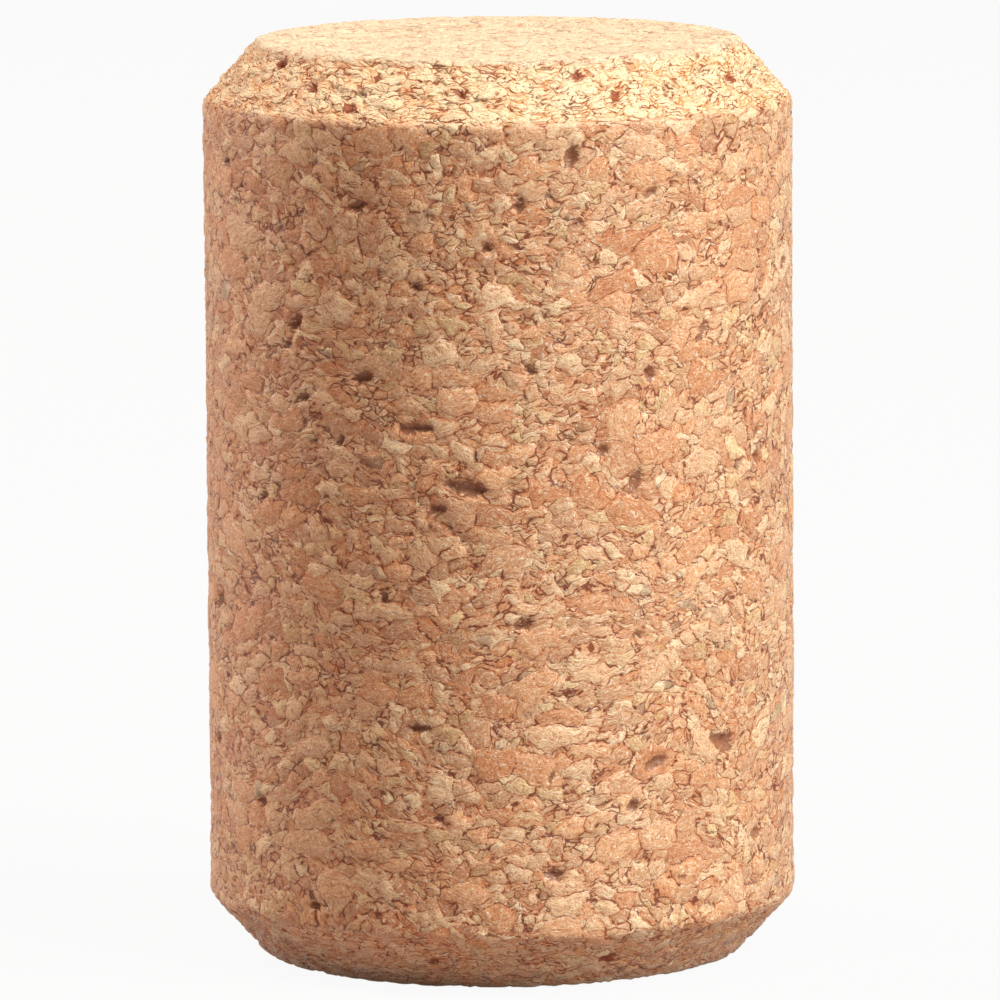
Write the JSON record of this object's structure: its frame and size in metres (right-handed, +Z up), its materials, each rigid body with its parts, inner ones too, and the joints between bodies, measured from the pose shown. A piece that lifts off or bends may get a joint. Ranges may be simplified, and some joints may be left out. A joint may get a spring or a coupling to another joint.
{
  "type": "cork stopper",
  "caption": "Cylindrical agglomerated cork stopper with a chamfered edge at each end, for closing a bottle neck.",
  "frame": {"origin": "centre of the lower end face", "axes": "+Z up the stopper's axis from the lower end face to the upper one; the stopper is round, so X and Y are any two directions across it"},
  "size_m": [0.024, 0.024, 0.0375],
  "materials": {
    "cork": "matt ground agglomerated cork"
  },
  "bodies": {
    "root": {"stopper": "cork"}
  },
  "joints": []
}
